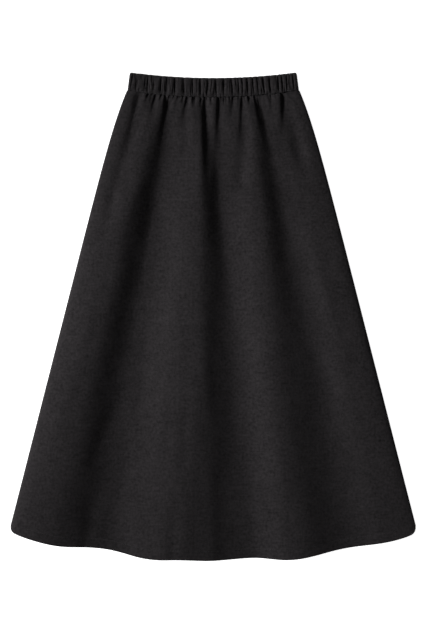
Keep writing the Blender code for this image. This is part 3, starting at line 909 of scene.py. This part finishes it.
class NodeKit:
    """Adds nodes to a material's or the world's tree, one short call each."""

    def __init__(self, owner):
        owner.use_nodes = True
        self.tree = owner.node_tree

    def add(self, kind, **settings):
        """A new node with those settings."""
        node = self.tree.nodes.new(kind)
        for key, value in settings.items():
            setattr(node, key, value)
        return node

    def link(self, source, target):
        """A wire from one socket to another."""
        self.tree.links.new(source, target)

    def math(self, operation, first, second=None, third=None):
        """The result of an operation on one to three values, each a socket or a number."""
        node = self.add("ShaderNodeMath", operation=operation)
        for socket, value in zip(node.inputs, (first, second, third)):
            if value is None:
                continue
            if isinstance(value, (int, float)):
                socket.default_value = value
            else:
                self.link(value, socket)
        return node.outputs[0]

    def mix(self, first, second, factor=1.0, blend="MIX"):
        """Mix of two colours, each a socket or a plain value. Inputs 0, 6 and 7 are the ones for colours."""
        node = self.add("ShaderNodeMix", data_type="RGBA", blend_type=blend)
        for index, value in ((0, factor), (6, first), (7, second)):
            if isinstance(value, bpy.types.NodeSocket):
                self.link(value, node.inputs[index])
            else:
                node.inputs[index].default_value = value
        return node.outputs[2]

    def noise(self, across, along, across_size, along_size, offset):
        """Noise whose features are across_size by along_size metres, about 0 with a spread of about 1.

        The offset picks the slice of the noise.
        """
        combine = self.add("ShaderNodeCombineXYZ")
        self.link(self.math("MULTIPLY", across, 1.0 / across_size), combine.inputs[0])
        self.link(self.math("MULTIPLY", along, 1.0 / along_size), combine.inputs[1])
        combine.inputs[2].default_value = offset
        node = self.add("ShaderNodeTexNoise")
        fill(node, {"Scale": 1.0})
        self.link(combine.outputs[0], node.inputs["Vector"])
        return self.math("MULTIPLY_ADD", node.outputs["Fac"], NOISE_SPREAD, -NOISE_SPREAD / 2.0)

    def total(self, terms):
        """Sum of values, each times its weight."""
        result = self.math("MULTIPLY", terms[0][0], terms[0][1])
        for value, weight in terms[1:]:
            result = self.math("MULTIPLY_ADD", value, weight, result)
        return result


def new_material(name):
    """A material, a kit for its nodes, and its shader."""
    material = bpy.data.materials.new(name)
    kit = NodeKit(material)
    return material, kit, material.node_tree.nodes["Principled BSDF"]


def cloth_material(name, settings):
    """Plain weave of uneven slubby yarns in charcoal heather.

    The yarns are |sin| ridges, the warp's and the weft's in turn, on a chequer made from the product of the
    two sines. Painted shade darkens the colour in the valleys between the yarns, and painted light brightens
    their tops. Noise of several sizes along and across the yarns makes slubs, and lighter and darker fibres.
    """
    material, kit, shader = new_material(name)

    place = kit.add("ShaderNodeUVMap", uv_map="cloth")
    split = kit.add("ShaderNodeSeparateXYZ")
    kit.link(place.outputs[0], split.inputs[0])
    across, along = split.outputs[0], split.outputs[1]
    grains = [kit.noise(across, along, row.across, row.along, GRAIN_SLICE * k)
              for k, row in enumerate(GRAINS)]

    sway = kit.math("MULTIPLY", kit.noise(across, along, SWAY_SIZE, SWAY_SIZE, SWAY_SLICE), SWAY_TURN)
    turns = math.pi / settings.yarn
    warp, weft = (kit.math("SINE", kit.math("MULTIPLY_ADD", way, turns, sway)) for way in (across, along))
    chequer = kit.math("MULTIPLY_ADD", kit.math("MULTIPLY", warp, weft), 0.5, 0.5)
    warp_ridge = kit.math("MULTIPLY", kit.math("ABSOLUTE", warp), chequer)
    weft_ridge = kit.math("MULTIPLY", kit.math("ABSOLUTE", weft), kit.math("SUBTRACT", 1.0, chequer))
    weave = kit.math("ADD", warp_ridge, weft_ridge)

    heather = kit.total([(grain, row.colour * settings.heather) for grain, row in zip(grains, GRAINS)])
    # Base colour: heather tones plus the weave's painted shade in the yarns' valleys and painted light on
    # their tops
    shade = kit.math("ADD", kit.math("MULTIPLY_ADD", weave, WEAVE_PAINTED_SHADING, VALLEY_SHADE), heather)
    shade = kit.math("MAXIMUM", shade, DARKEST_SHADE)
    grey = kit.add("ShaderNodeCombineColor")
    for socket in grey.inputs[:3]:
        kit.link(shade, socket)
    kit.link(kit.mix(settings.colour, grey.outputs[0], blend="MULTIPLY"), shader.inputs["Base Color"])

    rough = kit.math("MULTIPLY_ADD", grains[0], ROUGHNESS_SPREAD, settings.roughness)
    kit.link(rough, shader.inputs["Roughness"])
    fill(shader, {"Specular IOR Level": settings.shine, "Sheen Weight": settings.nap,
                  "Sheen Roughness": NAP_ROUGHNESS})

    slubs = [(grain, row.relief) for grain, row in zip(grains, GRAINS) if row.relief]
    relief = kit.total([(weave, WEAVE_RELIEF), *slubs])
    bump = kit.add("ShaderNodeBump")
    fill(bump, {"Strength": RELIEF_STRENGTH, "Distance": RELIEF_HEIGHT})
    kit.link(relief, bump.inputs["Height"])
    kit.link(bump.outputs[0], shader.inputs["Normal"])
    return material


def thread_material(name, settings):
    """Twisted thread: slanted bands on Object coordinates, darker between the plies."""
    material, kit, shader = new_material(name)
    place = kit.add("ShaderNodeTexCoord")
    wave = kit.add("ShaderNodeTexWave", bands_direction="DIAGONAL")
    fill(wave, {"Scale": PLY_SCALE, "Distortion": PLY_DISTORTION})
    kit.link(place.outputs["Object"], wave.inputs["Vector"])
    # Colours of the bands: painted shade between the plies, painted light on them
    dark, light = ([value * share for value in settings.thread_colour_and_seam_shade[:3]] + [1.0] for share in PLY_PAINTED_SHADING)
    kit.link(kit.mix(dark, light, wave.outputs["Fac"]), shader.inputs["Base Color"])
    fill(shader, {"Roughness": THREAD_ROUGHNESS, "Sheen Weight": THREAD_NAP})
    return material


def material_once(name, make):
    """The material of that name, made on first use."""
    return bpy.data.materials.get(name) or make(name, bpy.context.scene.skirt_cloth)


class SKIRT_OT_stage(bpy.types.Operator):
    """Set the camera, the lights and the floor"""

    bl_idname = "skirt.stage"
    bl_label = "Stage"

    def execute(self, context):
        stage = context.scene.skirt_stage
        camera_data = bpy.data.cameras.new("camera")
        camera_data.sensor_width = SENSOR_MM
        camera_data.lens = SENSOR_MM * stage.camera_height / (IMAGE[1] * METRES_PER_PIXEL)
        camera_data.clip_start = CAMERA_NEAR
        camera = placed("camera", camera_data)
        camera.location = ((IMAGE[0] / 2.0 - ORIGIN_PX[0]) * METRES_PER_PIXEL,
                           (ORIGIN_PX[1] - IMAGE[1] / 2.0) * METRES_PER_PIXEL, stage.camera_height)
        context.scene.camera = camera

        key_data = bpy.data.lights.new("key", "SUN")
        key_data.energy = stage.key_strength
        key_data.angle = stage.key_softness
        key = placed("key", key_data)
        key.rotation_euler = (0.0, -(math.pi / 2.0 - stage.key_elevation), 0.0)
        key.location = KEY_PLACE

        pool_data = bpy.data.lights.new("pool", "SPOT")
        pool_data.energy = stage.pool_strength
        pool_data.spot_size = stage.pool_spread
        pool_data.spot_blend = 1.0
        pool_data.shadow_soft_size = POOL_DISTANCE * math.tan(stage.key_softness / 2.0)
        pool = placed("pool", pool_data)
        pool.rotation_euler = key.rotation_euler
        pool.location = (POOL_CENTRE_X - POOL_DISTANCE * math.cos(stage.key_elevation), 0.0,
                         POOL_DISTANCE * math.sin(stage.key_elevation))

        world = bpy.data.worlds.new("studio")
        context.scene.world = world
        kit = NodeKit(world)
        background = world.node_tree.nodes["Background"]
        place = kit.add("ShaderNodeTexCoord")
        split = kit.add("ShaderNodeSeparateXYZ")
        kit.link(place.outputs["Generated"], split.inputs[0])
        ramp = kit.add("ShaderNodeMapRange", interpolation_type="SMOOTHSTEP")
        fill(ramp, {"From Min": HORIZON_BAND[0], "From Max": HORIZON_BAND[1],
                    "To Min": stage.horizon_strength, "To Max": stage.fill_strength})
        kit.link(split.outputs[2], ramp.inputs["Value"])
        kit.link(ramp.outputs[0], background.inputs["Strength"])
        fill(background, {"Color": WHITE})

        corners = np.array([[-1, -1, 0], [1, -1, 0], [1, 1, 0], [-1, 1, 0]]) * FLOOR_HALF
        corners = corners - np.array([0.0, 0.0, FLOOR_CLEARANCE])
        paint, _, shader = new_material("floor_white")
        fill(shader, {"Base Color": FLOOR_PAINT, "Roughness": 1.0, "Specular IOR Level": 0.0,
                      "Emission Color": WHITE, "Emission Strength": stage.floor_glow})
        floor = placed("floor", new_mesh("floor", corners, [(0, 1, 2, 3)], paint))
        context.scene.view_settings.view_transform = "Standard"
        return {"FINISHED"}


class SKIRT_OT_back_panel(bpy.types.Operator):
    """Lay the back panel flat on the floor"""

    bl_idname = "skirt.back_panel"
    bl_label = "Back panel"

    def execute(self, context):
        down = panel_rows(BACK_COARSER)
        places = panel_places(context.scene.skirt_shape.back_columns, BACK_CURL)
        outer, inner = back_surface(down, places)
        edge = folded_edge(outer, inner)
        piece = closed_cloth("back_cloth", outer[:, ::-1], inner[:, ::-1],
                             material_once("charcoal_weave", cloth_material), edge[:, ::-1])
        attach(piece, "root")
        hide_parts("back_panel")
        return {"FINISHED"}


class SKIRT_OT_front_panel(bpy.types.Operator):
    """Lay the front panel over the back one, in its folds and gathers"""

    bl_idname = "skirt.front_panel"
    bl_label = "Front panel"

    def execute(self, context):
        shape = context.scene.skirt_shape
        down = panel_rows(1.0)
        outer, lean = front_surface(down, panel_places(shape.columns, FRONT_CURL), shape.unevenness)
        inner = front_inner(outer, lean, down)
        edge = folded_edge(outer, inner)
        piece = closed_cloth("front_cloth", outer, inner,
                             material_once("charcoal_weave", cloth_material), edge)
        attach(piece, "root")
        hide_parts("front_panel")
        return {"FINISHED"}


class SKIRT_OT_waistband(bpy.types.Operator):
    """Ruche the two halves of the waistband"""

    bl_idname = "skirt.waistband"
    bl_label = "Waistband"

    def execute(self, context):
        material = material_once("charcoal_weave", cloth_material)
        front = band_half("waistband_front_cloth", 1, BACK_BAND_TOP + SEAM_GAP, material)
        back = band_half("waistband_back_cloth", -1, BACK_BAND_TOP, material)
        for piece, node in ((front, "waistband_front"), (back, "waistband_back")):
            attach(piece, "root")
            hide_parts(node)
        return {"FINISHED"}


class SKIRT_OT_stitching(bpy.types.Operator):
    bl_idname = "skirt.stitching"
    bl_label = "Stitching"

    def execute(self, context):
        shape = context.scene.skirt_shape
        thread = material_once("sewing_thread", thread_material)
        down = np.array([1.0 - HEM_STITCH_UP / PANEL_LENGTH])
        columns = shape.columns * HEM_PATH_FINER
        front_path = front_surface(down, panel_places(columns, FRONT_CURL), shape.unevenness)[0][0]
        back_path = back_surface(down, panel_places(columns, BACK_CURL))[0][0]
        front_hem = stitches("front_hem_stitches", front_path, 1.0, SIDE_COLUMNS, thread)
        back_hem = stitches("back_hem_stitches", back_path, -1.0, SIDE_COLUMNS, thread)
        # The seam's stitches in the dark thread also paint the shade along the waistband seam
        seams = []
        place = np.linspace(-BAND_HALF_SEAM, BAND_HALF_SEAM, shape.band_columns * SEAM_PATH_FINER)
        for side, level in ((1, BACK_BAND_TOP + SEAM_GAP), (-1, BACK_BAND_TOP)):
            x, y, stand = band_surface(place[None, :], np.array([[SEAM_STITCH_DOWN]]), side)
            off_floor = np.maximum(level + side * stand[0], STITCH_OFF_FLOOR * shape.thread)
            path = np.stack([x[0], y[0], off_floor], 1)
            name = "front_seam_stitches" if side > 0 else "back_seam_stitches"
            seams.append(stitches(name, path, float(side), SIDE_COLUMNS, thread))
        for piece in (front_hem, back_hem, *seams):
            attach(piece, "root")

        return {"FINISHED"}


class SKIRT_PT_sewing_room(bpy.types.Panel):
    """The steps of making the skirt and its settings"""

    bl_label = "Maxi skirt"
    bl_idname = "SKIRT_PT_sewing_room"
    bl_space_type = "VIEW_3D"
    bl_region_type = "UI"
    bl_category = "Skirt"

    def draw(self, context):
        for step in STEPS:
            self.layout.operator(step.bl_idname)
        for group in (context.scene.skirt_cloth, context.scene.skirt_shape, context.scene.skirt_stage):
            box = self.layout.box()
            for name in group.bl_rna.properties.keys():
                if name not in ("rna_type", "name"):
                    box.prop(group, name)


SETTINGS = {
    "skirt_cloth": SkirtClothSettings,
    "skirt_shape": SkirtShapeSettings,
    "skirt_stage": SkirtStageSettings,
}
STEPS = (SKIRT_OT_stage, SKIRT_OT_back_panel, SKIRT_OT_front_panel, SKIRT_OT_waistband, SKIRT_OT_stitching)


def register():
    """Add the classes, and each group of settings to the scene."""
    for kind in (*SETTINGS.values(), *STEPS, SKIRT_PT_sewing_room):
        bpy.utils.register_class(kind)
    for name, kind in SETTINGS.items():
        setattr(bpy.types.Scene, name, PointerProperty(type=kind))


def unregister():
    """Take away what register added."""
    for name in SETTINGS:
        delattr(bpy.types.Scene, name)
    for kind in reversed((*SETTINGS.values(), *STEPS, SKIRT_PT_sewing_room)):
        bpy.utils.unregister_class(kind)


def main():
    """Make the whole skirt."""
    register()
    bpy.ops.skirt.stage()
    bpy.ops.skirt.back_panel()
    bpy.ops.skirt.front_panel()
    bpy.ops.skirt.waistband()
    bpy.ops.skirt.stitching()


if __name__ == "__main__":
    main()
